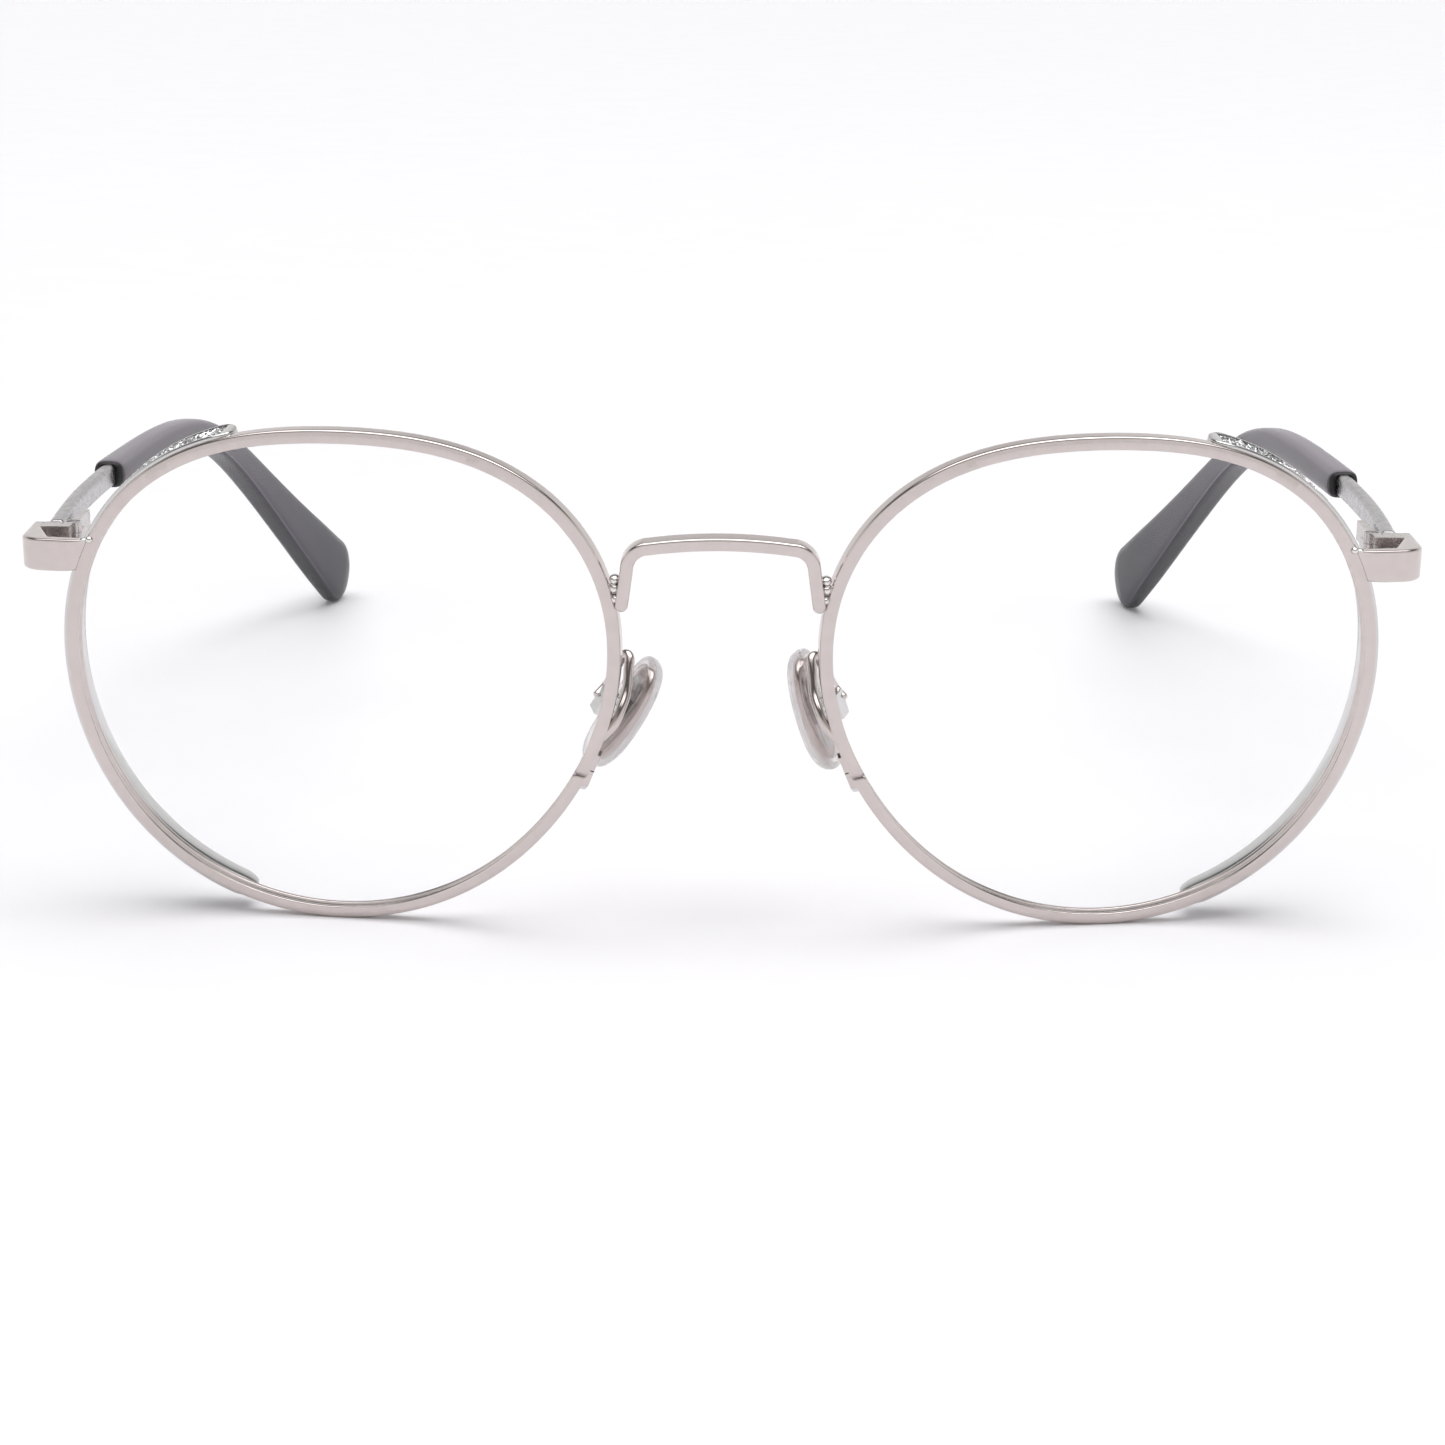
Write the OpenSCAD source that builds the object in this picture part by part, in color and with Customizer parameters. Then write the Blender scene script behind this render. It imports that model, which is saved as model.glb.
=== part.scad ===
// Round metal eyeglasses with fold-away temples, rocking nose pads and acetate temple sleeves.
// The glasses stand on the rims and the temple tips. +X is the wearer's left, +Y runs back along
// the temples and +Z is up. The left side is drawn, and the right side is its mirror image.

/* [Lenses and rims] */
// Width of a lens
lens_w = 50; // [48:0.5:52]
// Gap between the two lenses
lens_gap = 21.3; // [20:0.1:23]
// Radius of the lens's front curve
lens_curve = 120; // [100:5:200]
// Thickness of a demo lens
lens_t = 1.2; // [1:0.1:1.4]
// Width of a rim seen from the front
rim_face = 1.2; // [1.1:0.05:1.4]
// Depth of a rim from front to back
rim_depth = 1.6; // [1.6:0.05:2]
// Backward turn of each lens towards its temple, in degrees
wrap = 6; // [4:0.5:8]
// Forward lean of the front's top, in degrees
front_tilt = 5; // [4:0.5:7]

/* [Side bands] */
// Depth of a side band, from the rim's front to the band's back edge
band_depth = 4.4; // [3.6:0.1:4.6]
// Wall of a side band behind the rim
band_t = 0.9; // [0.7:0.05:1.1]
// How far a side band stands out from the rim
band_proud = 0.35; // [0.3:0.05:0.4]
// Angle of a side band's upper end, from the temple direction
band_top = 68; // [55:1:75]
// Angle of a side band's lower end, from the temple direction
band_bottom = -68; // [-75:1:-55]

/* [Bridge] */
// Height of the bridge bar's face
bridge_face = 1.2; // [1:0.05:1.4]
// Depth of the bridge bar
bridge_depth = 2; // [1.6:0.1:2.2]
// Half width of the bridge at its shoulders, to the bar's middle
bridge_half = 8.5; // [8.3:0.1:8.7]

/* [Endpieces and hinges] */
// Width across both endpieces
front_w = 129.8; // [129.2:0.1:130.4]
// Height of an endpiece
endpiece_h = 3; // [2.8:0.1:3.2]
// Thickness of an endpiece
endpiece_t = 1.4; // [1.3:0.05:1.5]
// Radius of a hinge knuckle
knuckle_r = 0.75; // [0.74:0.01:0.78]
// Radius of a hinge screw's shank
hinge_screw_r = 0.4; // [0.36:0.01:0.41]

/* [Temples] */
// Height of the metal temple arm
arm_h = 2.2; // [2:0.1:2.4]
// Thickness of the metal temple arm
arm_t = 1.5; // [1.3:0.05:1.6]
// Height of a sleeve at its mouth
sleeve_h = 2.9; // [2.8:0.1:3.2]
// Thickness of a sleeve at its mouth
sleeve_t = 3.2; // [3:0.1:3.4]
// Height of the paddle at a temple tip
tip_h = 9.2; // [8.8:0.1:9.6]

/* [Nose pads] */
// Length of a nose pad
pad_l = 12; // [11.4:0.1:13]
// Width of a nose pad
pad_w = 6.8; // [6:0.1:7.4]
// Thickness of a nose pad
pad_t = 1.9; // [1.8:0.1:2.2]
// Outward turn of a pad's back edge, in degrees
pad_splay = 18; // [10:1:25]
// Lean of the right pad from upright, in degrees
right_pad_lean = 33; // [15:1:34]
// Lean of the left pad from upright, in degrees
left_pad_lean = 18; // [15:1:34]
// Thickness of a pad arm's wire
pad_wire = 0.95; // [0.8:0.05:1.1]

/* [Hidden] */
$fn = 64;

// Clearance between two pieces that only lie against each other
seam = 0.01;
// Places of the lens centre. The front is shifted so that the origin is under the middle.
lens_x = (lens_w + lens_gap) / 2;
lens_z = 24.576;
front_y = -65.575;

// Rim outline: a circle made slightly oval, pear-shaped and square, seen from the front
mean_r = 0.482 * lens_w;
oval = 1.07;
oval_turn = -15;
pear = 0.75;
pear_turn = 33.6;
squareness = 0.235;
square_turn = 49.6;
outline_points = 96;

// Lens groove, and the bevel of the lens that sits in it
groove_front = 0.5;
groove_back = 1.1;
groove_deep = 0.62;
bevel_deep = 0.55;

// Front edge of the band, and the channel in its outer face
band_start = 0.35;
channel_front = 0.85;
channel_back = band_depth - 0.5;
channel_floor = 0.15;
channel_end = 3;

// Rim split and its closing block
split_a = 201.5;
split_gap = 0.12;
block_in = 0.25;
block_out = rim_face + 0.45;
block_depth = 1.5;
block_half = 1.7;
rim_screw_r = 0.4;
split_sag = 2.5;

// Bridge: its front stands a little ahead of the rims
bridge_lead = 0.55;
arch_v = 13.8;
arch_rise = 0.45;
shoulder_r = 2.05;
leg_end = [bridge_half + 0.48, 7.9];
shoulder_c = [bridge_half - shoulder_r, arch_v - arch_rise - shoulder_r];

// Endpiece, hinge and temple places
side_x = front_w / 2;
wall_x = side_x - endpiece_t + 0.4;
endpiece_z = 35.4;
endpiece_turn = 9;
endpiece_start = [56.6, 3.56];
corner_r = 2.4;
hinge_x = side_x - 3.55;
hinge_y = 12.2;
butt_gap = 0.2;
leaf_front = hinge_y - 2.3;
knuckle_gap = 0.04;
arm_inner = hinge_x + knuckle_r + 0.15;
leaf_x = hinge_x - 0.1;
arm_z = endpiece_z + endpiece_h / 2 - arm_h / 2;

// Temple path: a bowed arm, then a sleeve that curves down behind the ear
mouth = [side_x - 1.1, 40, 35.65];
// How far each temple stands turned inward, in degrees
left_turn = -0.3;
right_turn = 0.3;
sleeve_bend = [[60.6, 86.7, 35.3], [63.2, 86.5, 31.85]];
sleeve_end = [53, 132.18, 1.99];
tip_round = 4.6;

// Nose pad places, measured from the middle of the lens plane
pad_pivot = [10.65, 7, 20.9];
pad_back = 1.25;
lug_t = 0.8;
pad_screw_r = 0.38;
wire_path = [
    [10.9, 1.7, 19.2], [9.8, 1.9, 20.4], [9.2, 2.5, 21.6], [8.7, 3.6, 23], [8.55, 4.6, 24.8], [8.5, 5.4, 25.9],
    [9.05, 6.1, 25.9], [9.75, 6.8, 24.6], [10.3, 7.6, 23.3], [10.8, 8.2, 22.3], [11.64, 7.5, 21.5]
];

// ---- shared geometry ----

function flat(lists) = [for (l = lists) for (p = l) p];
function unit(v) = v / norm(v);
function rim_r(a, out) = mean_r + out + oval * cos(2 * (a - oval_turn))
    + pear * cos(3 * (a - pear_turn)) + squareness * cos(4 * (a - square_turn));
function arc(c, r, a0, a1, n) = [for (i = [0:n]) c + r * [cos(a0 + (a1 - a0) * i / n), sin(a0 + (a1 - a0) * i / n)]];
function bezier(c, t) = pow(1 - t, 3) * c[0] + 3 * t * pow(1 - t, 2) * c[1]
    + 3 * t * t * (1 - t) * c[2] + pow(t, 3) * c[3];
// A rounded rectangle as a superellipse: the higher the power, the squarer it is
function rounded(a, power) = [sign(cos(a)) * pow(abs(cos(a)), 2 / power), sign(sin(a)) * pow(abs(sin(a)), 2 / power)];
// Direction of a path of points at its point i
function heading(path, i) = unit(path[min(i + 1, len(path) - 1)] - path[max(i - 1, 0)]);
// A thick line in the plane with round ends
function thick_line(path, w) = let (
    n = len(path),
    side = [for (i = [0:n - 1]) let (d = heading(path, i)) w / 2 * [-d.y, d.x]],
    start = atan2(side[0].y, side[0].x),
    end = atan2(side[n - 1].y, side[n - 1].x)
) concat(
    [for (i = [0:n - 1]) path[i] + side[i]],
    arc(path[n - 1], w / 2, end - 20, end - 160, 7),
    [for (i = [n - 1:-1:0]) path[i] - side[i]],
    arc(path[0], w / 2, start + 160, start + 20, 7)
);

// Solid through a row of rings that all have the same number of points
module skin(rings) {
    n = len(rings[0]);
    m = len(rings);
    sides = [for (k = [0:m - 2]) for (i = [0:n - 1]) let (a = k * n, b = a + n, j = (i + 1) % n)
        each [[a + i, b + i, b + j], [a + i, b + j, a + j]]];
    caps = [[for (i = [0:n - 1]) i], [for (i = [n - 1:-1:0]) (m - 1) * n + i]];
    polyhedron(points = flat(rings), faces = concat(sides, caps), convexity = 8);
}

// Ring across a temple path: size is [thickness, height]
function temple_ring(p, d, size, power, n) = let (
    lat = unit([d.y, -d.x, 0]),
    up = cross(lat, d)
) [for (i = [0:n - 1]) let (s = rounded(360 * (i + 0.5) / n, power)) p + lat * s.x * size.x / 2 + up * s.y * size.y / 2];

module right_side() mirror([1, 0, 0]) children();

// Puts what is drawn around the lens centre in its place: +X to the temple, +Y back, +Z up
module on_front() translate([0, front_y, lens_z]) rotate([front_tilt, 0, 0]) children();
module at_lens() on_front() translate([lens_x, 0, 0]) rotate([0, 0, wrap]) children();
// Stands a flat shape up in the lens plane, from 6 mm in front of it to 14 mm behind it
module stand_up() rotate([90, 0, 0]) translate([0, 0, -14]) linear_extrude(20) children();
module lens_ball(y) translate([0, lens_curve + y, 0]) sphere(r = lens_curve, $fn = 180);
// Keeps what lies between two lens-curved surfaces, y0 and y1 behind the rim's front
module curved(y0, y1) difference() {
    intersection() {
        stand_up() children();
        lens_ball(y0);
    }
    lens_ball(y1);
}
module outline(out) polygon([for (i = [0:outline_points - 1]) let (a = 360 * i / outline_points)
    rim_r(a, out) * [cos(a), sin(a)]]);
module ring(inner, outer) difference() {
    outline(outer);
    outline(inner);
}
module sector(a0, a1) polygon(concat([[0, 0]], arc([0, 0], 40, a0, a1, 12)));
module arc_ring(inner, outer, a0, a1) intersection() {
    ring(inner, outer);
    sector(a0, a1);
}
// Turns the +X direction to an angle in the lens plane
module at_angle(a) rotate([0, -a, 0]) children();

// ---- front ----

module eyewire() color([0.80, 0.76, 0.74]) at_lens() difference() {
    curved(0, rim_depth) ring(0, rim_face);
    curved(groove_front, groove_back) outline(groove_deep);
    at_angle(split_a) translate([mean_r - 3, -2, -split_gap / 2]) cube([8, 8, split_gap]);
}

module lens() color([0.92, 0.95, 0.96, 0.35]) at_lens() union() {
    curved(0.2, 0.2 + lens_t) outline(-0.05);
    curved(groove_front + 0.05, groove_back - 0.05) outline(bevel_deep);
}

module side_band() color([0.74, 0.74, 0.73]) at_lens() difference() {
    outer = rim_face + band_proud;
    union() {
        curved(band_start, band_depth) arc_ring(rim_face + seam, outer, band_bottom, band_top);
        curved(rim_depth + seam, band_depth) arc_ring(outer - band_t, rim_face + 0.1, band_bottom, band_top);
    }
    curved(channel_front, channel_back)
        arc_ring(rim_face + channel_floor, outer + 1, band_bottom + channel_end, band_top - channel_end);
}

module crystal_inlay() color([0.9, 0.9, 0.92]) at_lens() curved(channel_front + seam, channel_back - seam)
    arc_ring(rim_face + channel_floor + seam, rim_face + band_proud - 0.03,
        band_bottom + channel_end + 0.1, band_top - channel_end - 0.1);

// Draws along the rim at the split: +X outwards, +Y back and +Z along the rim
module at_split() at_angle(split_a)
    translate([rim_r(split_a, (block_in + block_out) / 2), split_sag + rim_depth + block_depth / 2, 0]) children();

// One half of the closing block: way is 1 for the half below the split and -1 for the half above
module closing_block(way) color([0.78, 0.75, 0.73]) at_lens() difference() {
    at_split() difference() {
        translate([0, -0.1, way * (block_half + split_gap / 2) / 2])
            cube([block_out - block_in, block_depth + 0.2, block_half - split_gap / 2], center = true);
        cylinder(r = rim_screw_r + 0.02, h = 2 * block_half + 2, center = true);
    }
    curved(-3, rim_depth + seam) outline(rim_face + 3);
}

module rim_screw() color([0.70, 0.70, 0.71]) at_lens() at_split() difference() {
    union() {
        translate([0, 0, -block_half + 0.1]) cylinder(r = rim_screw_r, h = 2 * block_half);
        translate([0, 0, block_half + seam]) cylinder(r = 0.65, h = 0.35);
    }
    translate([-1, -0.1, block_half + 0.2]) cube([2, 0.2, 1]);
}

// Middle line of half the bridge, from the centre of the arch down to the end of a leg
function half_bridge() = concat(
    [for (i = [0:6]) let (x = shoulder_c.x * i / 6) [x, arch_v - arch_rise * pow(x / shoulder_c.x, 2)]],
    arc(shoulder_c, shoulder_r, 78, 0, 8),
    [leg_end]
);

module bridge() color([0.80, 0.76, 0.74]) difference() {
    half = half_bridge();
    n = len(half);
    path = concat([for (i = [n - 1:-1:1]) [-half[i].x, half[i].y]], half);
    on_front() translate([0, bridge_depth - bridge_lead, 0]) rotate([90, 0, 0]) union() {
        linear_extrude(bridge_depth) polygon(thick_line(path, bridge_face));
        // Beads of solder between the legs and the rims
        for (s = [-1, 1]) translate([s * (leg_end.x + 0.45), leg_end.y + 1.9, 0.3])
            cylinder(r = 0.65, h = bridge_depth - 0.6);
    }
    for (s = [0, 1]) mirror([s, 0, 0]) at_lens() stand_up() outline(rim_face + seam);
}

// ---- endpieces and hinges ----

function endpiece_plan() = let (
    dir = [cos(endpiece_turn), sin(endpiece_turn)],
    back = [-dir.y, dir.x],
    cx = side_x - corner_r,
    along = (cx - endpiece_start.x + corner_r * dir.y) / dir.x,
    c = endpiece_start + along * dir + corner_r * back
) concat(
    [endpiece_start],
    arc(c, corner_r, -90 + endpiece_turn, 0, 10),
    [[side_x, hinge_y - butt_gap], [wall_x, hinge_y - butt_gap], [wall_x, leaf_front]],
    [endpiece_start + endpiece_t * back + (along - 0.4) * dir, endpiece_start + endpiece_t * back]
);

module endpiece() color([0.80, 0.76, 0.74]) difference() {
    translate([0, front_y, endpiece_z - endpiece_h / 2]) linear_extrude(endpiece_h) polygon(endpiece_plan());
    at_lens() stand_up() outline(rim_face + seam);
    at_lens() curved(band_start - seam, 12) outline(rim_face + band_proud + seam);
}

module at_hinge() translate([hinge_x, front_y + hinge_y, endpiece_z]) children();

module front_hinge() color([0.76, 0.73, 0.71]) at_hinge() difference() {
    third = endpiece_h / 3;
    back = leaf_front - hinge_y;
    leaf_w = wall_x - leaf_x;
    union() {
        translate([leaf_x - hinge_x, back, -endpiece_h / 2]) cube([leaf_w, 1.1, endpiece_h]);
        translate([knuckle_r + 0.08, back + 1, -endpiece_h / 2])
            cube([wall_x - hinge_x - knuckle_r - 0.08, 1, endpiece_h]);
        for (z = [-endpiece_h / 2, third / 2]) translate([0, 0, z]) {
            cylinder(r = knuckle_r, h = third);
            translate([leaf_x - hinge_x, back + 1, 0]) cube([0.1 + knuckle_r, -back - 1, third]);
        }
    }
    translate([0, 0, -3]) cylinder(r = hinge_screw_r + 0.02, h = 6);
    translate([0, 0, endpiece_h / 2 - 0.5]) cylinder(r = 0.62, h = 1);
}

module hinge_screw() color([0.68, 0.68, 0.69]) at_hinge() difference() {
    union() {
        translate([0, 0, -endpiece_h / 2 + 0.05]) cylinder(r = hinge_screw_r, h = endpiece_h - 0.5);
        translate([0, 0, endpiece_h / 2 - 0.49]) cylinder(r = 0.59, h = 0.42);
    }
    translate([-1, -0.11, endpiece_h / 2 - 0.28]) cube([2, 0.22, 1]);
}

module temple_hinge() color([0.76, 0.73, 0.71]) at_hinge() difference() {
    leaf_h = endpiece_h / 3 - 2 * knuckle_gap;
    reach = arm_inner - hinge_x - seam;
    union() {
        translate([0, 0, -leaf_h / 2]) cylinder(r = knuckle_r, h = leaf_h);
        translate([-0.6, 0, -leaf_h / 2]) cube([reach + 0.6, 2.6, leaf_h]);
        translate([reach - 0.8, 1.6, -0.95]) cube([0.8, 6, 1.9]);
    }
    translate([0, 0, -3]) cylinder(r = hinge_screw_r + 0.06, h = 6);
}

// ---- temples ----

arm_steps = 8;
sleeve_steps = 28;
arm_start = [arm_inner + arm_t / 2, hinge_y + butt_gap / 2 + 0.05, arm_z];
sleeve_curve = [mouth, sleeve_bend[0], sleeve_bend[1], sleeve_end];
function bow(t) = arm_start * (1 - t) + mouth * t + [0.5 * sin(180 * t), 0, 0];
function sleeve_point(t) = bezier(sleeve_curve, t);
function sleeve_way(t) = unit(sleeve_point(min(t + 0.01, 1)) - sleeve_point(max(t - 0.01, 0)));
function sleeve_height(t) = sleeve_h * pow(1 - t, 2) + 7.8 * t * (1 - t) + tip_h * pow(t, 4);
// The paddle's end is rounded off over its last few millimetres
function end_round(t) = let (left = norm(sleeve_end - sleeve_point(t)))
    left >= tip_round ? 1 : sqrt(max(0.02, 1 - pow(1 - left / tip_round, 2)));
function sleeve_size(t) = [(sleeve_t - 0.2 * t) * (0.35 + 0.65 * end_round(t)), sleeve_height(t) * end_round(t)];
core_end = 0.9;
core_size = [1, 1.8];

// Turns a temple about its hinge
module turned(a) at_hinge() rotate([0, 0, a]) translate([-hinge_x, -front_y - hinge_y, -endpiece_z]) children();

function at_temple(p) = p + [0, front_y, 0];
function sleeve_ring(t, size, power, n) = temple_ring(at_temple(sleeve_point(t)), sleeve_way(t), size, power, n);

module temple_arm() color([0.82, 0.82, 0.82]) skin(concat(
    [for (i = [0:arm_steps - 1]) let (t = i / arm_steps)
        temple_ring(at_temple(bow(t)), unit(bow(t + 0.01) - bow(t - 0.01)), [arm_t, arm_h], 8, 8)],
    [sleeve_ring(0, [arm_t, arm_h], 8, 8)],
    [for (i = [1:18]) sleeve_ring(core_end * i / 18, core_size, 8, 8)]
));

module temple_sleeve() color([0.47, 0.44, 0.48]) skin(concat(
    [for (i = [sleeve_steps:-1:1]) let (t = 1 - pow(1 - i / sleeve_steps, 2))
        sleeve_ring(t, sleeve_size(t), 3, 16)],
    [sleeve_ring(0, sleeve_size(0), 3, 16)],
    [sleeve_ring(0, [arm_t, arm_h] + [0.1, 0.1], 8, 16)],
    [for (i = [1:18]) sleeve_ring(core_end * i / 18 + 0.002, core_size + [0.1, 0.1], 8, 16)]
));

collar_l = 0.5;
module sleeve_collar() color([0.05, 0.05, 0.05]) {
    way = sleeve_way(0);
    sizes = [sleeve_size(0) - [0.15, 0.15], [arm_t, arm_h] + [0.1, 0.1]];
    places = [at_temple(mouth) - seam * way, at_temple(mouth) - collar_l * way];
    difference() {
        skin([temple_ring(places[0], way, sizes[0], 3, 24), temple_ring(places[1], way, sizes[0] - [0.2, 0.2], 3, 24)]);
        skin([temple_ring(places[0] + way, way, sizes[1], 8, 8), temple_ring(places[1] - way, way, sizes[1], 8, 8)]);
    }
}

// ---- nose pads ----

// Draws at a pad's pivot: +X away from the nose, +Y along the screw and +Z up the pad
module at_pad(lean) translate(pad_pivot + [0, front_y, 0]) rotate([0, -lean, 0]) rotate([0, 0, -pad_splay]) children();

function pad_ring(x, l, w) = [for (i = [0:39]) let (s = rounded(9 * i, 2.5)) [x, s.x * w / 2, s.y * l / 2]];

module stadium(l, w) union() {
    square([l - w, w], center = true);
    for (s = [-1, 1]) translate([s * (l - w) / 2, 0]) circle(r = w / 2);
}

module nose_pad(lean) color([0.9, 0.92, 0.93, 0.6]) at_pad(lean) difference() {
    back = -pad_back;
    skin([
        pad_ring(back, pad_l - 1.2, pad_w - 1.2),
        pad_ring(back - pad_t * 0.2, pad_l - 0.2, pad_w - 0.2),
        pad_ring(back - pad_t * 0.45, pad_l, pad_w),
        pad_ring(back - pad_t * 0.75, pad_l - 0.8, pad_w - 0.8),
        pad_ring(back - pad_t, pad_l - 3.6, pad_w - 3)
    ]);
    translate([back - 0.8, 0, 0]) rotate([0, 90, 0]) linear_extrude(2) stadium(8.1, 3.5);
}

module pad_core(lean) color([0.85, 0.85, 0.84]) at_pad(lean) difference() {
    union() {
        translate([-pad_back - 0.8 + seam, 0, 0]) rotate([0, 90, 0]) linear_extrude(0.6) stadium(8, 3.4);
        translate([-pad_back - 0.4, -lug_t / 2, -0.65]) cube([pad_back + 0.4, lug_t, 1.3]);
        rotate([90, 0, 0]) cylinder(r = 0.65, h = lug_t, center = true);
    }
    rotate([90, 0, 0]) cylinder(r = pad_screw_r + 0.05, h = 2, center = true);
}

module pad_box(lean) color([0.76, 0.75, 0.73]) at_pad(lean) difference() {
    translate([-0.75, -0.95, -1.2]) cube([1.75, 1.9, 2.4]);
    translate([-1, -lug_t / 2 - 0.06, -2]) cube([1.72, lug_t + 0.12, 4]);
    rotate([90, 0, 0]) cylinder(r = pad_screw_r + 0.02, h = 4, center = true);
}

module pad_screw(lean) color([0.70, 0.70, 0.71]) at_pad(lean) rotate([90, 0, 0]) difference() {
    union() {
        translate([0, 0, -0.95]) cylinder(r = pad_screw_r, h = 2);
        translate([0, 0, 0.95 + seam]) cylinder(r = 0.62, h = 0.4);
    }
    translate([-1, -0.09, 1.2]) cube([2, 0.18, 1]);
}

// The wire's route, smoothed between its points, with a round ring at each step
wire_steps = 3;
function along(path, k) = let (
    i = min(floor(k), len(path) - 2),
    t = k - i,
    a = path[max(i - 1, 0)], b = path[i], c = path[i + 1], d = path[min(i + 2, len(path) - 1)]
) b + t / 2 * ((c - a) + t * ((2 * a - 5 * b + 4 * c - d) + t * (3 * b - a - 3 * c + d)));
function wire_ring(k) = let (
    p = along(wire_path, k) + [0, front_y, 0],
    d = unit(along(wire_path, min(k + 0.05, len(wire_path) - 1)) - along(wire_path, max(k - 0.05, 0))),
    u = unit(cross(d, [1, 0, 0.2])),
    v = cross(d, u)
) [for (i = [0:9]) p + pad_wire / 2 * (u * cos(36 * i) + v * sin(36 * i))];

module pad_arm() color([0.78, 0.77, 0.75])
    skin([for (k = [0:wire_steps * (len(wire_path) - 1)]) wire_ring(k / wire_steps)]);

// ---- the pieces ----

module right_eyewire() right_side() eyewire();
module left_eyewire() eyewire();
module right_lens() right_side() lens();
module left_lens() lens();
module right_side_band() right_side() side_band();
module left_side_band() side_band();
module right_crystal_inlay() right_side() crystal_inlay();
module left_crystal_inlay() crystal_inlay();
module right_upper_closing_block() right_side() closing_block(-1);
module left_upper_closing_block() closing_block(-1);
module right_lower_closing_block() right_side() closing_block(1);
module left_lower_closing_block() closing_block(1);
module right_rim_screw() right_side() rim_screw();
module left_rim_screw() rim_screw();
module right_endpiece() right_side() endpiece();
module left_endpiece() endpiece();
module right_front_hinge() right_side() front_hinge();
module left_front_hinge() front_hinge();
module right_hinge_screw() right_side() hinge_screw();
module left_hinge_screw() hinge_screw();
module right_pad_arm() right_side() pad_arm();
module left_pad_arm() pad_arm();
module right_pad_box() right_side() pad_box(right_pad_lean);
module left_pad_box() pad_box(left_pad_lean);
module right_pad_screw() right_side() pad_screw(right_pad_lean);
module left_pad_screw() pad_screw(left_pad_lean);
module right_nose_pad() right_side() nose_pad(right_pad_lean);
module left_nose_pad() nose_pad(left_pad_lean);
module right_pad_core() right_side() pad_core(right_pad_lean);
module left_pad_core() pad_core(left_pad_lean);
module right_temple_hinge() right_side() turned(right_turn) temple_hinge();
module left_temple_hinge() turned(left_turn) temple_hinge();
module right_temple_arm() right_side() turned(right_turn) temple_arm();
module left_temple_arm() turned(left_turn) temple_arm();
module right_sleeve_collar() right_side() turned(right_turn) sleeve_collar();
module left_sleeve_collar() turned(left_turn) sleeve_collar();
module right_temple_sleeve() right_side() turned(right_turn) temple_sleeve();
module left_temple_sleeve() turned(left_turn) temple_sleeve();

right_eyewire();
left_eyewire();
right_lens();
left_lens();
right_side_band();
left_side_band();
right_crystal_inlay();
left_crystal_inlay();
right_upper_closing_block();
left_upper_closing_block();
right_lower_closing_block();
left_lower_closing_block();
right_rim_screw();
left_rim_screw();
bridge();
right_endpiece();
left_endpiece();
right_front_hinge();
left_front_hinge();
right_hinge_screw();
left_hinge_screw();
right_pad_arm();
left_pad_arm();
right_pad_box();
left_pad_box();
right_pad_screw();
left_pad_screw();
right_nose_pad();
left_nose_pad();
right_pad_core();
left_pad_core();
right_temple_hinge();
left_temple_hinge();
right_temple_arm();
left_temple_arm();
right_sleeve_collar();
left_sleeve_collar();
right_temple_sleeve();
left_temple_sleeve();
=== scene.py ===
"""Round wire eyeglasses: the looks of the CAD parts. Lengths are in millimetres unless noted."""
import math
import random

import bmesh
import bpy
from mathutils import Matrix, Vector


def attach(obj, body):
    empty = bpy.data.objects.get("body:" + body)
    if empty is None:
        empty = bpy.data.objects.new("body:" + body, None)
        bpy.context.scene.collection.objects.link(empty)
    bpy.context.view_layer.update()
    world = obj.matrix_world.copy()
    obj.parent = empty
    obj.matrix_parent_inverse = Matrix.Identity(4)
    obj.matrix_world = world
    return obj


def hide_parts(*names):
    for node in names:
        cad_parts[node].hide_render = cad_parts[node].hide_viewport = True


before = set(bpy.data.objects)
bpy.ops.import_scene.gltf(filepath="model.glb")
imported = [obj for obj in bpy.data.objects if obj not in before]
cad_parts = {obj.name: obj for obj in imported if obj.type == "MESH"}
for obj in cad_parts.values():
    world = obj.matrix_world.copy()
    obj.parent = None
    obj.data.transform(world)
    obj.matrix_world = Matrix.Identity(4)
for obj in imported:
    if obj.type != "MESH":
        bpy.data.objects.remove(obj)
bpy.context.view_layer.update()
MM = 0.001

# ---- sizes shared with the CAD source ----
LENS_W, LENS_GAP, LENS_CURVE, LENS_T = 50.0, 21.3, 120.0, 1.2
RIM_FACE, RIM_DEPTH = 1.2, 1.6
WRAP, FRONT_TILT = 6.0, 5.0
BAND_DEPTH, BAND_T, BAND_PROUD, BAND_START = 4.4, 0.9, 0.35, 0.35
BAND_TOP, BAND_BOTTOM, CHANNEL_END = 68.0, -68.0, 3.0
CHANNEL_FRONT, CHANNEL_BACK, CHANNEL_FLOOR = 0.85, BAND_DEPTH - 0.5, 0.15
LENS_X, LENS_Z, FRONT_Y = (LENS_W + LENS_GAP) / 2, 24.576, -65.575
MEAN_R = 0.482 * LENS_W
SPLIT_A, SPLIT_GAP = 201.5, 0.12
BRIDGE_FACE, BRIDGE_DEPTH, BRIDGE_HALF, BRIDGE_LEAD = 1.2, 2.0, 8.5, 0.55
ARCH_V, ARCH_RISE, SHOULDER_R = 13.8, 0.45, 2.05
LEG_END = (BRIDGE_HALF + 0.48, 7.9)
SIDE_X, ENDPIECE_T, ENDPIECE_H, ENDPIECE_Z = 64.9, 1.4, 3.0, 35.4
ENDPIECE_TURN, ENDPIECE_START, CORNER_R = 9.0, (56.6, 3.56), 2.4
WALL_X = SIDE_X - ENDPIECE_T + 0.4
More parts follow.
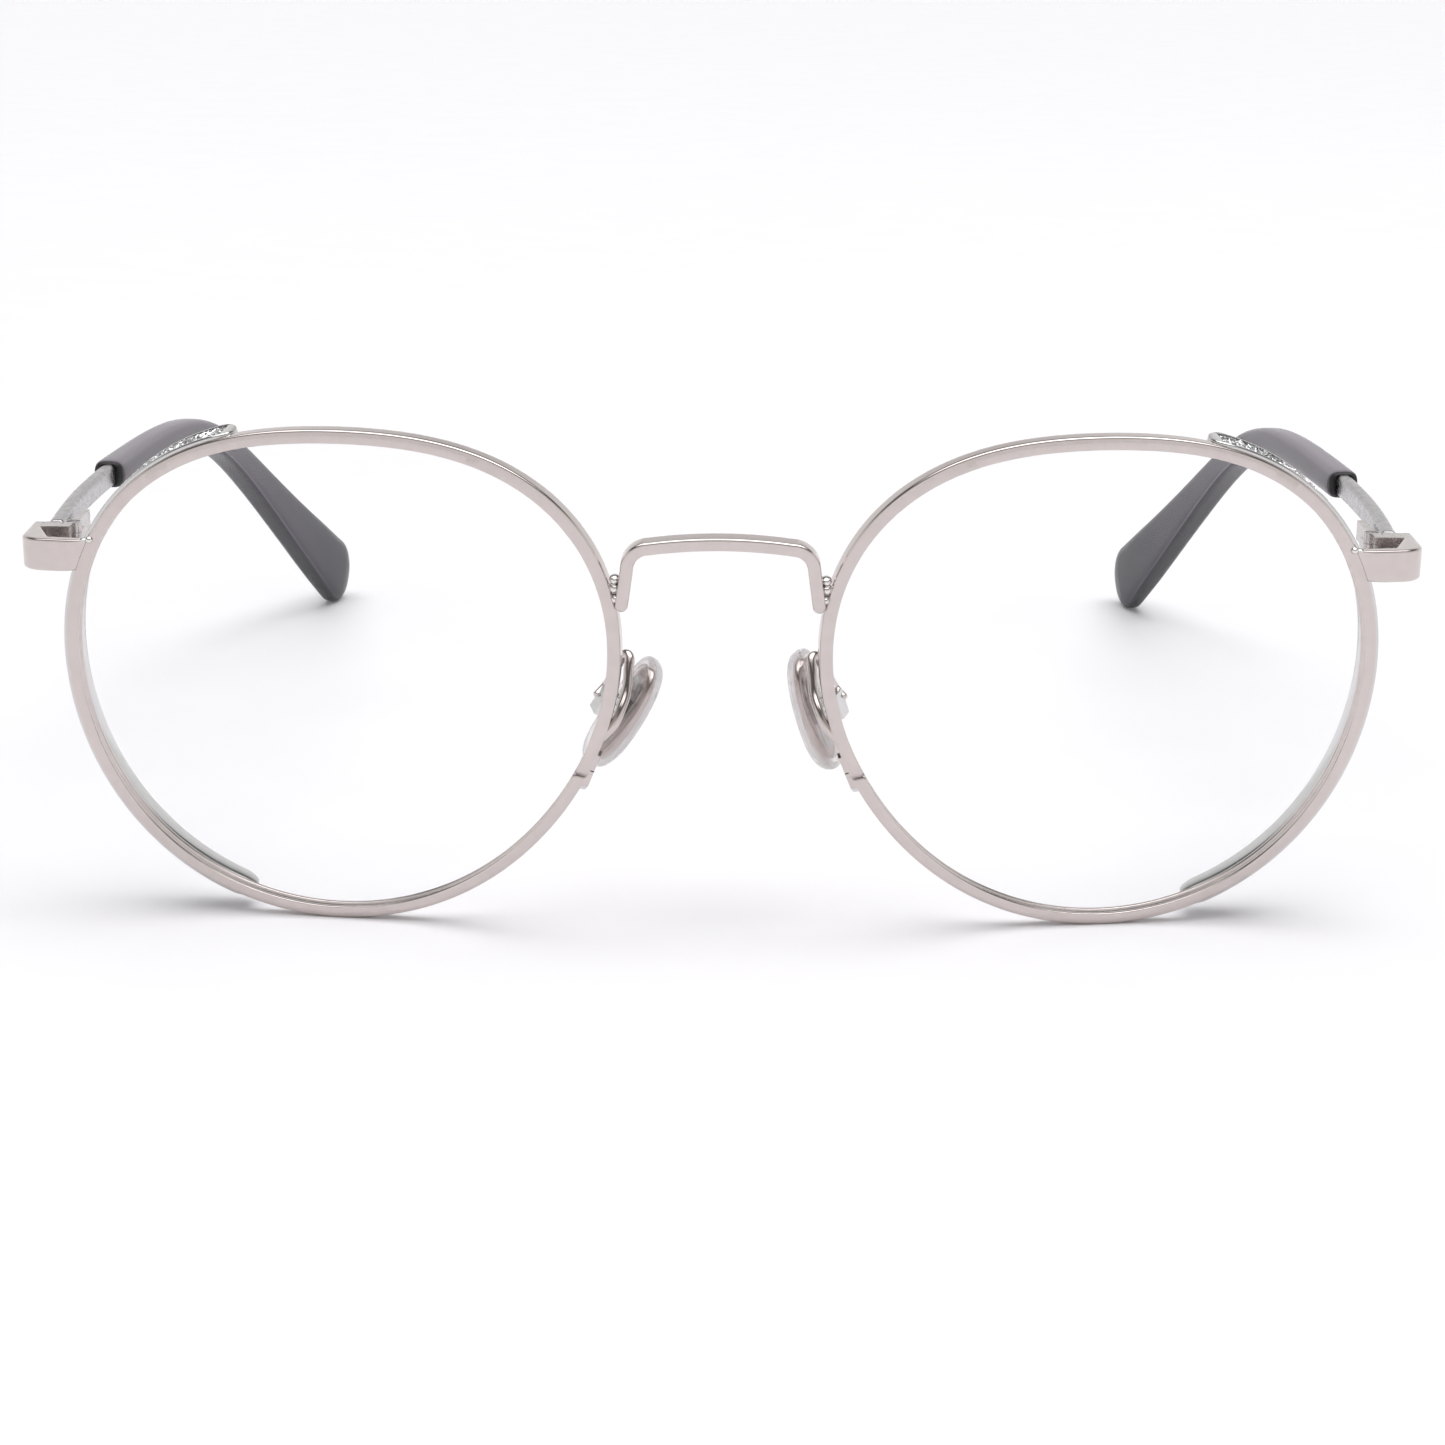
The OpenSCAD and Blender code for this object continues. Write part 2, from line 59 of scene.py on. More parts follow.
HINGE_X, HINGE_Y, KNUCKLE_R, BUTT_GAP = SIDE_X - 3.55, 12.2, 0.75, 0.2
LEAF_FRONT = HINGE_Y - 2.3
ARM_INNER, ARM_H, ARM_T = HINGE_X + KNUCKLE_R + 0.15, 2.2, 1.5
ARM_Z = ENDPIECE_Z + ENDPIECE_H / 2 - ARM_H / 2
SLEEVE_H, SLEEVE_T, TIP_H, TIP_ROUND = 2.9, 3.2, 9.2, 4.6
TEMPLE_TURN = {1: -0.3, -1: 0.3}
MOUTH = Vector((SIDE_X - 1.1, 40, 35.65))
SLEEVE_CURVE = (MOUTH, Vector((60.6, 86.7, 35.3)), Vector((63.2, 86.5, 31.85)), Vector((53, 132.18, 1.99)))
PAD_PIVOT, PAD_BACK, PAD_L, PAD_W, PAD_T, PAD_SPLAY = Vector((10.65, 7, 20.9)), 1.25, 12.0, 6.8, 1.9, 18.0
PAD_LEAN = {1: 18.0, -1: 33.0}
PAD_WIRE = 0.95
WIRE_PATH = [Vector(p) for p in (
    (10.9, 1.7, 19.2), (9.8, 1.9, 20.4), (9.2, 2.5, 21.6), (8.7, 3.6, 23), (8.55, 4.6, 24.8),
    (8.5, 5.4, 25.9), (9.05, 6.1, 25.9), (9.75, 6.8, 24.6), (10.3, 7.6, 23.3), (10.8, 8.2, 22.3),
    (11.64, 7.5, 21.5))]
SIDES = {1: "left_", -1: "right_"}


# ---- small maths ----
def cosd(a):
    return math.cos(math.radians(a))


def sind(a):
    return math.sin(math.radians(a))


def rot(axis, degrees):
    return Matrix.Rotation(math.radians(degrees), 4, axis)


def blend(a, b, t):
    return a * (1 - t) + b * t


def ease(t):
    t = min(max(t, 0.0), 1.0)
    return t * t * (3 - 2 * t)


def rim_r(a, out):
    """The lens outline's radius at an angle: a circle with three soft waves."""
    return (MEAN_R + out + 1.07 * cosd(2 * (a + 15)) + 0.75 * cosd(3 * (a - 33.6))
            + 0.235 * cosd(4 * (a - 49.6)))


ON_FRONT = Matrix.Translation((0, FRONT_Y, LENS_Z)) @ rot("X", FRONT_TILT)
AT_LENS = ON_FRONT @ Matrix.Translation((LENS_X, 0, 0)) @ rot("Z", WRAP)


def lens_point(a, out, depth):
    """A point by its angle round the lens, its distance outside the rim's inner edge and its depth."""
    r = rim_r(a, out)
    sag = LENS_CURVE + depth - math.sqrt(LENS_CURVE ** 2 - r * r)
    return AT_LENS @ Vector((r * cosd(a), sag, r * sind(a)))


def at_pad(side):
    return (Matrix.Translation(PAD_PIVOT + Vector((0, FRONT_Y, 0)))
            @ rot("Y", -PAD_LEAN[side]) @ rot("Z", -PAD_SPLAY))


def temple_turn(side):
    """Each temple stands turned a little about its hinge."""
    hinge = Matrix.Translation((HINGE_X, FRONT_Y + HINGE_Y, 0))
    return hinge @ rot("Z", TEMPLE_TURN[side]) @ hinge.inverted()


def bezier(c, t):
    return c[0] * (1 - t) ** 3 + c[1] * 3 * t * (1 - t) ** 2 + c[2] * 3 * t * t * (1 - t) + c[3] * t ** 3


def catmull(path, k):
    i = min(int(k), len(path) - 2)
    t = k - i
    a, b, c, d = path[max(i - 1, 0)], path[i], path[i + 1], path[min(i + 2, len(path) - 1)]
    return b + t / 2 * ((c - a) + t * ((2 * a - 5 * b + 4 * c - d) + t * (3 * b - a - 3 * c + d)))


# ---- profiles: lists of (across, along) points, anticlockwise ----
def corner(cx, cy, r, start, steps):
    angles = [start + 90 * i / steps for i in range(steps + 1)]
    return [(cx + r * cosd(a), cy + r * sind(a)) for a in angles]


def rounded_box(x0, x1, y0, y1, r, steps=4):
    return (corner(x1 - r, y1 - r, r, 0, steps) + corner(x0 + r, y1 - r, r, 90, steps)
            + corner(x0 + r, y0 + r, r, 180, steps) + corner(x1 - r, y0 + r, r, 270, steps))


def superellipse(w, h, power, n):
    points = []
    for i in range(n):
        c, s = cosd(360 * (i + 0.5) / n), sind(360 * (i + 0.5) / n)
        points.append((math.copysign(abs(c) ** (2 / power), c) * w / 2,
                       math.copysign(abs(s) ** (2 / power), s) * h / 2))
    return points


# ---- mesh building ----
class Shell:
    """Collects vertices in millimetres and faces, then becomes one object."""

    def __init__(self):
        self.verts, self.faces = [], []

    def ring(self, points):
        start = len(self.verts)
        self.verts += [Vector(p) for p in points]
        return list(range(start, len(self.verts)))

    def skin(self, rings, closed=False, caps=True):
        index = [self.ring(r) for r in rings]
        pairs = list(zip(index, index[1:])) + ([(index[-1], index[0])] if closed else [])
        for a, b in pairs:
            n = len(a)
            self.faces += [(a[i], a[(i + 1) % n], b[(i + 1) % n], b[i]) for i in range(n)]
        if caps and not closed:
            self.cap(index[0], True)
            self.cap(index[-1], False)

    def cap(self, ring, first):
        centre = sum((self.verts[i] for i in ring), Vector()) / len(ring)
        self.verts.append(centre)
        c, n = len(self.verts) - 1, len(ring)
        for i in range(n):
            a, b = ring[i], ring[(i + 1) % n]
            self.faces.append((c, b, a) if first else (c, a, b))

    def ball(self, centre, radii, turn=None, n=24):
        rows = []
        for j in range(1, n // 2):
            lat = 180 * j / (n // 2)
            rows.append([self.place(centre, turn, Vector((radii[0] * sind(lat) * cosd(360 * i / n),
                                                          radii[1] * sind(lat) * sind(360 * i / n),
                                                          radii[2] * cosd(lat)))) for i in range(n)])
        self.skin(rows)

    @staticmethod
    def place(centre, turn, v):
        return Vector(centre) + (turn @ v if turn else v)

    def build(self, name, side, body, material, stands_for=(), crisp=True, turn=None):
        mesh = bpy.data.meshes.new(name)
        if turn:
            self.verts = [turn @ v for v in self.verts]
        mesh.from_pydata([(v.x * side * MM, v.y * MM, v.z * MM) for v in self.verts], [], self.faces)
        mesh.validate()
        obj = bpy.data.objects.new(name, mesh)
        bpy.context.scene.collection.objects.link(obj)
        bm = bmesh.new()
        bm.from_mesh(mesh)
        bmesh.ops.remove_doubles(bm, verts=bm.verts, dist=1e-9)
        bmesh.ops.recalc_face_normals(bm, faces=bm.faces)
        for face in bm.faces:
            face.smooth = True
        bm.to_mesh(mesh)
        bm.free()
        mesh.materials.append(material)
        if crisp:
            keep = obj.modifiers.new("crisp_faces", "WEIGHTED_NORMAL")
            keep.weight = 100
        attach(obj, body)
        if stands_for:
            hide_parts(*stands_for)
        return obj


def frames_along(points):
    """A direction, a sideways and an upward vector at each point of a path, carried without twist."""
    out, side = [], None
    for i, p in enumerate(points):
        way = (points[min(i + 1, len(points) - 1)] - points[max(i - 1, 0)]).normalized()
        if side is None:
            side = way.cross(Vector((0.1, 0.2, 1))).normalized()
        side = (side - way * side.dot(way)).normalized()
        out.append((p, way, side, way.cross(side)))
    return out


def round_wire(points, radius, n=16, blunt=0.4):
    """Rings of a round wire with softly rounded ends."""
    rows = frames_along(points)
    rings = []

    def row(place, way, u, v, r, shift):
        centre = place + way * shift
        return [centre + u * (r * cosd(360 * i / n)) + v * (r * sind(360 * i / n)) for i in range(n)]

    first, last = rows[0], rows[-1]
    for k in (90, 60, 30):
        rings.append(row(*first, radius * max(cosd(k), 0.05), -radius * blunt * sind(k)))
    rings += [row(*r, radius, 0) for r in rows]
    for k in (30, 60, 90):
        rings.append(row(*last, radius * max(cosd(k), 0.05), radius * blunt * sind(k)))
    return rings


# ---- materials ----
def new_material(name):
    m = bpy.data.materials.new(name)
    m.use_nodes = True
    nodes, links = m.node_tree.nodes, m.node_tree.links
    return m, nodes, links, nodes["Principled BSDF"]


def texture(nodes, links, kind, scale, detail=3.0, stretch=None):
    coord = nodes.new("ShaderNodeTexCoord")
    source = coord.outputs["Object"]
    if stretch:
        mapping = nodes.new("ShaderNodeMapping")
        mapping.inputs["Scale"].default_value = stretch
        links.new(source, mapping.inputs["Vector"])
        source = mapping.outputs["Vector"]
    tex = nodes.new("ShaderNodeTex" + kind)
    tex.inputs["Scale"].default_value = scale
    if kind == "Noise":
        tex.inputs["Detail"].default_value = detail
    links.new(source, tex.inputs["Vector"])
    return tex


def ramp(nodes, links, source, stops):
    r = nodes.new("ShaderNodeValToRGB")
    while len(r.color_ramp.elements) < len(stops):
        r.color_ramp.elements.new(0.5)
    for element, (place, colour) in zip(r.color_ramp.elements, stops):
        element.position = place
        element.color = (*colour, 1) if len(colour) == 3 else colour
    links.new(source, r.inputs["Fac"])
    return r.outputs["Color"]


def grey(v):
    return (v, v, v)


def tinted(colour, k):
    return tuple(min(1.0, c * k) for c in colour)


def plated_metal(name, colour, rough, mottle=0.03, bump=0.02, grain=900, metallic=1.0):
    """Polished plating: the faint orange peel, mottling and hairlines of a buffed wire frame."""
    m, nodes, links, p = new_material(name)
    p.inputs["Metallic"].default_value = metallic
    cloud = texture(nodes, links, "Noise", grain, 4)
    tones = [(0.3, tinted(colour, 1 - mottle)), (0.7, tinted(colour, 1 + mottle))]
    links.new(ramp(nodes, links, cloud.outputs["Fac"], tones), p.inputs["Base Color"])
    wear = texture(nodes, links, "Noise", grain * 2.7, 5)
    links.new(ramp(nodes, links, wear.outputs["Fac"], [(0.3, grey(rough * 0.7)), (0.75, grey(rough * 1.5))]),
              p.inputs["Roughness"])
    peel = texture(nodes, links, "Noise", grain * 1.6, 2)
    b = nodes.new("ShaderNodeBump")
    b.inputs["Strength"].default_value = bump
    b.inputs["Distance"].default_value = 0.0001
    links.new(peel.outputs["Fac"], b.inputs["Height"])
    links.new(b.outputs["Normal"], p.inputs["Normal"])
    return m


def glitter(name):
    """Silver chips set in clear resin: every chip has its own tone and tilt."""
    m, nodes, links, p = new_material(name)
    p.inputs["Metallic"].default_value = 1.0
    p.inputs["Roughness"].default_value = 0.12
    p.inputs["Coat Weight"].default_value = 0.6
    p.inputs["Coat Roughness"].default_value = 0.05
    chips = texture(nodes, links, "Voronoi", 3600)
    tones = [(0.2, grey(0.1)), (0.5, grey(0.55)), (0.8, grey(1.0))]
    links.new(ramp(nodes, links, chips.outputs["Color"], tones), p.inputs["Base Color"])
    b = nodes.new("ShaderNodeBump")
    b.inputs["Strength"].default_value = 0.6
    b.inputs["Distance"].default_value = 0.0002
    links.new(chips.outputs["Color"], b.inputs["Height"])
    links.new(b.outputs["Normal"], p.inputs["Normal"])
    return m


def lets_lamps_through(m, nodes, links, shader):
    """Lamps shine through the clear piece, so that it throws almost no shadow."""
    out = next(n for n in nodes if n.type == "OUTPUT_MATERIAL")
    path = nodes.new("ShaderNodeLightPath")
    clear = nodes.new("ShaderNodeBsdfTransparent")
    mix = nodes.new("ShaderNodeMixShader")
    links.new(path.outputs["Is Shadow Ray"], mix.inputs["Fac"])
    links.new(shader, mix.inputs[1])
    links.new(clear.outputs["BSDF"], mix.inputs[2])
    links.new(mix.outputs["Shader"], out.inputs["Surface"])


def clear_lens(name):
    """Thin clear plastic with a faint coating: it is seen through, and only its surface shines."""
    m, nodes, links, p = new_material(name)
    nodes.remove(p)
    out = next(n for n in nodes if n.type == "OUTPUT_MATERIAL")
    clear = nodes.new("ShaderNodeBsdfTransparent")
    clear.inputs["Color"].default_value = (0.994, 0.994, 0.994, 1)
    shine = nodes.new("ShaderNodeBsdfGlossy")
    shine.inputs["Roughness"].default_value = 0.02
    shine.inputs["Color"].default_value = (0.9, 0.93, 0.95, 1)
    haze = texture(nodes, links, "Noise", 90, 3)
    b = nodes.new("ShaderNodeBump")
    b.inputs["Strength"].default_value = 0.01
    b.inputs["Distance"].default_value = 0.0002
    links.new(haze.outputs["Fac"], b.inputs["Height"])
    links.new(b.outputs["Normal"], shine.inputs["Normal"])
    fresnel = nodes.new("ShaderNodeFresnel")
    fresnel.inputs["IOR"].default_value = 1.38
    faint = nodes.new("ShaderNodeMath")
    faint.operation = "MINIMUM"
    faint.inputs[1].default_value = 0.06
    links.new(fresnel.outputs["Fac"], faint.inputs[0])
    mix = nodes.new("ShaderNodeMixShader")
    links.new(faint.outputs["Value"], mix.inputs["Fac"])
    links.new(clear.outputs["BSDF"], mix.inputs[1])
    links.new(shine.outputs["BSDF"], mix.inputs[2])
    links.new(mix.outputs["Shader"], out.inputs["Surface"])
    return m


def silicone(name):
    """Clear soft silicone with a slightly matt, faintly rippled surface."""
    m, nodes, links, p = new_material(name)
    p.inputs["Base Color"].default_value = (0.84, 0.81, 0.805, 1)
    p.inputs["Transmission Weight"].default_value = 1.0
    p.inputs["IOR"].default_value = 1.41
    skin = texture(nodes, links, "Noise", 1500, 3)
    links.new(ramp(nodes, links, skin.outputs["Fac"], [(0.3, grey(0.04)), (0.7, grey(0.12))]),
              p.inputs["Roughness"])
    ripple = texture(nodes, links, "Noise", 420, 2)
    b = nodes.new("ShaderNodeBump")
    b.inputs["Strength"].default_value = 0.16
    b.inputs["Distance"].default_value = 0.0004
    links.new(ripple.outputs["Fac"], b.inputs["Height"])
    links.new(b.outputs["Normal"], p.inputs["Normal"])
    clear = nodes.new("ShaderNodeBsdfTransparent")
    clear.inputs["Color"].default_value = (0.86, 0.845, 0.845, 1)
    mix = nodes.new("ShaderNodeMixShader")
    mix.inputs["Fac"].default_value = 0.55
    links.new(clear.outputs["BSDF"], mix.inputs[1])
    links.new(p.outputs["BSDF"], mix.inputs[2])
    lets_lamps_through(m, nodes, links, mix.outputs["Shader"])
    return m


def acetate(name):
    """Smoky mauve acetate, clearer at the mouth and deeper towards the tip, with faint streaks along it, and
    with painted shade and a painted highlight set by which way the surface faces.
    """
    m, nodes, links, p = new_material(name)
    coord = nodes.new("ShaderNodeTexCoord")
    split = nodes.new("ShaderNodeSeparateXYZ")
    links.new(coord.outputs["Object"], split.inputs["Vector"])
    span = nodes.new("ShaderNodeMapRange")
    span.inputs["From Min"].default_value = (MOUTH.y + FRONT_Y) * MM
    span.inputs["From Max"].default_value = (SLEEVE_CURVE[3].y + FRONT_Y) * MM
    links.new(split.outputs["Y"], span.inputs["Value"])
    streaks = texture(nodes, links, "Noise", 260, 4, stretch=(1, 0.12, 0.6))
    add = nodes.new("ShaderNodeMath")
    add.operation = "MULTIPLY_ADD"
    add.inputs[1].default_value = 0.16
    links.new(streaks.outputs["Fac"], add.inputs[0])
    links.new(span.outputs["Result"], add.inputs[2])
    deep = ramp(nodes, links, add.outputs["Value"], [
        (0.05, (0.172, 0.158, 0.176)), (0.5, (0.13, 0.114, 0.134)), (0.74, (0.075, 0.063, 0.08)),
        (1.0, (0.03, 0.026, 0.035))])
    # Painted shade and highlight by surface direction: the lower face is painted dark, a painted highlight
    # runs along its lower edge, and the top is painted lighter
    facing_for_painted_shade = nodes.new("ShaderNodeNewGeometry")
    height = nodes.new("ShaderNodeSeparateXYZ")
    links.new(facing_for_painted_shade.outputs["Normal"], height.inputs["Vector"])
    unit = nodes.new("ShaderNodeMapRange")
    unit.inputs["From Min"].default_value = -1
    links.new(height.outputs["Z"], unit.inputs["Value"])
    # Ramp over the normal's height: painted dark facing down, a painted highlight peak near the lower edge,
    # painted lighter facing up
    painted_light_by_facing = ramp(nodes, links, unit.outputs["Result"], [
        (0.14, grey(0.16)), (0.2, grey(0.2)), (0.27, grey(0.85)), (0.35, grey(0.42)), (0.5, grey(0.36)),
        (0.64, grey(0.44)), (0.84, grey(0.6))])
    colour_with_painted_shade = nodes.new("ShaderNodeVectorMath")
    colour_with_painted_shade.operation = "MULTIPLY"
    links.new(deep, colour_with_painted_shade.inputs[0])
    links.new(painted_light_by_facing, colour_with_painted_shade.inputs[1])
    painted_shade_colour = nodes.new("ShaderNodeVectorMath")
    painted_shade_colour.operation = "SCALE"
    painted_shade_colour.inputs["Scale"].default_value = 2.3
    links.new(colour_with_painted_shade.outputs["Vector"], painted_shade_colour.inputs[0])
    links.new(painted_shade_colour.outputs["Vector"], p.inputs["Base Color"])
    p.inputs["Subsurface Weight"].default_value = 0.3
    p.inputs["Subsurface Radius"].default_value = (1.0, 0.9, 1.0)
    p.inputs["Subsurface Scale"].default_value = 0.0012
    p.inputs["Roughness"].default_value = 0.24
    p.inputs["Specular IOR Level"].default_value = 0.06
    p.inputs["Coat Weight"].default_value = 0.03
    p.inputs["Coat Roughness"].default_value = 0.06
    b = nodes.new("ShaderNodeBump")
    b.inputs["Strength"].default_value = 0.04
    b.inputs["Distance"].default_value = 0.0003
    links.new(streaks.outputs["Fac"], b.inputs["Height"])
    links.new(b.outputs["Normal"], p.inputs["Normal"])
    return m


def matt_black(name):
    """Matt near-black with a fine grain."""
    m, nodes, links, p = new_material(name)
    grain = texture(nodes, links, "Noise", 4000, 4)
    links.new(ramp(nodes, links, grain.outputs["Fac"], [(0.3, grey(0.004)), (0.7, grey(0.012))]),
              p.inputs["Base Color"])
    links.new(ramp(nodes, links, grain.outputs["Fac"], [(0.3, grey(0.4)), (0.7, grey(0.6))]),
              p.inputs["Roughness"])
    return m


def floor_surface(name):
    """Pale paper with a very faint violet cloud."""
    m, nodes, links, p = new_material(name)
    grain = texture(nodes, links, "Noise", 60, 3)
    tones = [(0.3, (0.935, 0.925, 0.95)), (0.7, (0.955, 0.945, 0.97))]
    links.new(ramp(nodes, links, grain.outputs["Fac"], tones), p.inputs["Base Color"])
    p.inputs["Roughness"].default_value = 0.7
    p.inputs["Specular IOR Level"].default_value = 0.2
    return m


ROSE = plated_metal("rose_silver_plating", (0.60, 0.54, 0.52), 0.13)
SILVER = plated_metal("polished_silver_plating", (0.62, 0.61, 0.605), 0.10)
ARM_METAL = plated_metal("temple_arm_plating", (0.44, 0.425, 0.43), 0.24, mottle=0.12)
HINGE_METAL = plated_metal("hinge_plating", (0.54, 0.5, 0.49), 0.22, mottle=0.1, metallic=0.85)
SOLDER = plated_metal("solder", (0.74, 0.72, 0.71), 0.08, bump=0.06)
STEEL = plated_metal("screw_steel", (0.66, 0.66, 0.67), 0.18, grain=1500)
GLITTER = glitter("crystal_glitter")
LENS = clear_lens("clear_demo_lens")
SILICONE = silicone("clear_silicone")
ACETATE = acetate("smoky_acetate")
BLACK = matt_black("black_collar")


# ---- front pieces ----
def rim_profile():
    """(out, depth) points round the rim's section, with the lens groove on its inner side."""
    r, steps = 0.2, 4
    turns = [90 * i / steps for i in range(steps + 1)]
    section = [(RIM_FACE - r + r * sind(a), r - r * cosd(a)) for a in turns]
    section += [(RIM_FACE, 0.5), (RIM_FACE, 1.1)]
    section += [(RIM_FACE - r + r * cosd(a), RIM_DEPTH - r + r * sind(a)) for a in turns]
    section += [(0.6, RIM_DEPTH), (0.14, RIM_DEPTH), (0.04, RIM_DEPTH - 0.04), (0, RIM_DEPTH - 0.14)]
    section += [(0, 1.16), (0.04, 1.1), (0.58, 0.98), (0.62, 0.8), (0.58, 0.62), (0.04, 0.5), (0, 0.44)]
    section += [(0, 0.14), (0.04, 0.04), (0.14, 0)]
    return section


def eyewire(side):
    """The grooved wire round a lens, cut through at the closing block."""
    shell = Shell()
    half_gap = math.degrees(SPLIT_GAP / 2 / rim_r(SPLIT_A, 0.6))
    steps = 300
    section = rim_profile()
    rings = []
    for i in range(steps + 1):
        a = SPLIT_A + half_gap + (360 - 2 * half_gap) * i / steps
        rings.append([lens_point(a, out, depth) for out, depth in section])
    shell.skin(rings)
    node = SIDES[side] + "eyewire"
    return shell.build(node + "_rim", side, "front", ROSE, [node])


def lens(side):
    """A clear curved disc whose edge runs to a blunt bevel in the rim's groove."""
    shell = Shell()
    mid, n = (0.5 + 1.1) / 2, 180
    front, back = 0.2, 0.2 + LENS_T
    inward = (-22.0, -16.0, -8.0, -2.0, -0.12)
    section = [(out, front) for out in inward] + [(-0.05, front + 0.05)]
    section += [(0.5, mid - 0.12), (0.52, mid), (0.5, mid + 0.12)]
    section += [(-0.05, back - 0.05)] + [(out, back) for out in reversed(inward)]
    rings = []
    for out, depth in section:
        rings.append([lens_point(360 * i / n, out, depth) for i in range(n)])
    shell.skin(rings)
    node = SIDES[side] + "lens"
    return shell.build(node + "_clear", side, "front", LENS, [node], crisp=False)


def band_section(a):
    """(out, depth) points round a side band at an angle: it tapers into the rim at both ends."""
    end = min(BAND_TOP - a, a - BAND_BOTTOM)
    outer = RIM_FACE + BAND_PROUD
    near = max(0.0, 1 - end / 4.5)
    fall = 1 - math.sqrt(max(0.0, 1 - near ** 2))
    front, back = BAND_START + 1.7 * fall, BAND_DEPTH - 1.9 * fall
    lip = outer - (BAND_PROUD - 0.03) * fall
    cut = ease((end - CHANNEL_END + 0.7) / 0.7)
    floor = min(blend(outer - 0.005, RIM_FACE + CHANNEL_FLOOR, cut), lip - 0.003)
    span = back - front
    low = outer - BAND_T
    r = min(0.12, span * 0.2)
    f = max(CHANNEL_FRONT, front + min(0.3, 0.3 * span))
    b = min(CHANNEL_BACK, back - min(0.3, 0.3 * span))
    e = min(0.05, (b - f) * 0.15)
    inner = max(RIM_DEPTH + 0.02, front + 0.02)
    return [
        (RIM_FACE - 0.15, front), (lip - r, front), (lip - r * 0.3, front + r * 0.3), (lip, front + r),
        (lip, f - e * 1.6), (lip - 0.04 * cut, f - e * 0.6), (floor + 0.04 * cut, f), (floor, f + e),
        (floor, blend(f, b, 0.25)), (floor, blend(f, b, 0.5)), (floor, blend(f, b, 0.75)),
        (floor, b - e), (floor + 0.04 * cut, b), (lip - 0.04 * cut, b + e * 0.6), (lip, b + e * 1.6),
        (lip, back - r), (lip - r * 0.3, back - r * 0.3), (lip - r, back),
        (low + r, back), (low + r * 0.3, back - r * 0.3), (low, back - r),
        (low, blend(inner, back, 0.5)), (low, inner), (RIM_FACE - 0.15, inner)]


def side_band(side):
    """The deep strip round the rim's temple half, with a channel in its outer face."""
    shell = Shell()
    steps = 260
    rings = []
    for i in range(steps + 1):
        t = i / steps
        a = blend(BAND_BOTTOM, BAND_TOP, t)
        rings.append([lens_point(a, out, depth) for out, depth in band_section(a)])
    shell.skin(rings)
    node = SIDES[side] + "side_band"
    return shell.build(node + "_metal", side, "front", SILVER, [node])


def crystal_inlay(side):
    """A bed of glitter chips: a grid whose points are moved and raised at random, so every facet tilts."""
    rng = random.Random(41 if side > 0 else 73)
    shell = Shell()
    across, along = 14, 300
    a0, a1 = BAND_BOTTOM + CHANNEL_END, BAND_TOP - CHANNEL_END
    f, b = CHANNEL_FRONT + 0.02, CHANNEL_BACK - 0.02
    base = RIM_FACE + CHANNEL_FLOOR - 0.05
    index = []
    for i in range(along + 1):
        row = []
        for j in range(across + 1):
            inside = 0 < i < along and 0 < j < across
            jitter_a = rng.uniform(-0.4, 0.4) * (a1 - a0) / along if inside else 0
            jitter_d = rng.uniform(-0.4, 0.4) * (b - f) / across if inside else 0
            rise = rng.uniform(0.05, 0.27) if inside else 0.0
            shell.verts.append(lens_point(a0 + (a1 - a0) * i / along + jitter_a, base + 0.05 + rise - 0.02,
                                          f + (b - f) * j / across + jitter_d))
            row.append(len(shell.verts) - 1)
        index.append(row)
    for i in range(along):
        for j in range(across):
            q = (index[i][j], index[i][j + 1], index[i + 1][j + 1], index[i + 1][j])
            if rng.random() < 0.5:
                shell.faces += [(q[0], q[1], q[2]), (q[0], q[2], q[3])]
            else:
                shell.faces += [(q[0], q[1], q[3]), (q[1], q[2], q[3])]
    # Underside and edges close the bed
    places = ([(i, 0) for i in range(along + 1)] + [(along, j) for j in range(1, across + 1)]
              + [(i, across) for i in range(along - 1, -1, -1)] + [(0, j) for j in range(across - 1, 0, -1)])
    edge = [index[i][j] for i, j in places]
    under = {}
    for i, j in places:
        shell.verts.append(lens_point(a0 + (a1 - a0) * i / along, base, f + (b - f) * j / across))
        under[(i, j)] = len(shell.verts) - 1
    low = [under[p] for p in places]
    n = len(edge)
    shell.faces += [(edge[k], edge[(k + 1) % n], low[(k + 1) % n], low[k]) for k in range(n)]
    for i in range(along):
        shell.faces.append((under[(i, 0)], under[(i + 1, 0)], under[(i + 1, across)], under[(i, across)])
                           if 0 < i < along - 1 else
                           tuple(under[p] for p in end_cell(i, across)))
    node = SIDES[side] + "crystal_inlay"
    obj = shell.build(node + "_chips", side, "front", GLITTER, [node], crisp=False)
    for polygon in obj.data.polygons:
        polygon.use_smooth = False
    return obj


def end_cell(i, across):
    """Corners of the underside's first or last cell, with the points along its end."""
    if i == 0:
        return [(0, j) for j in range(across, -1, -1)] + [(1, 0), (1, across)]
    return [(i, 0)] + [(i + 1, j) for j in range(across + 1)] + [(i, across)]


def bridge_path():
    """(x, up) points of the bar's middle line: a flat arch, two round shoulders and two legs."""
    cx, cy = BRIDGE_HALF - SHOULDER_R, ARCH_V - ARCH_RISE - SHOULDER_R
    half = [(cx * i / 10, ARCH_V - ARCH_RISE * (i / 10) ** 2) for i in range(11)]
    turns = [78 - 78 * i / 16 for i in range(17)]
    half += [(cx + SHOULDER_R * cosd(a), cy + SHOULDER_R * sind(a)) for a in turns]
    half += [(cx + SHOULDER_R + 0.48 * t, cy + (LEG_END[1] - cy) * t) for t in (0.25, 0.5, 0.75, 1.0)]
    return [(-x, y) for x, y in half[:0:-1]] + half


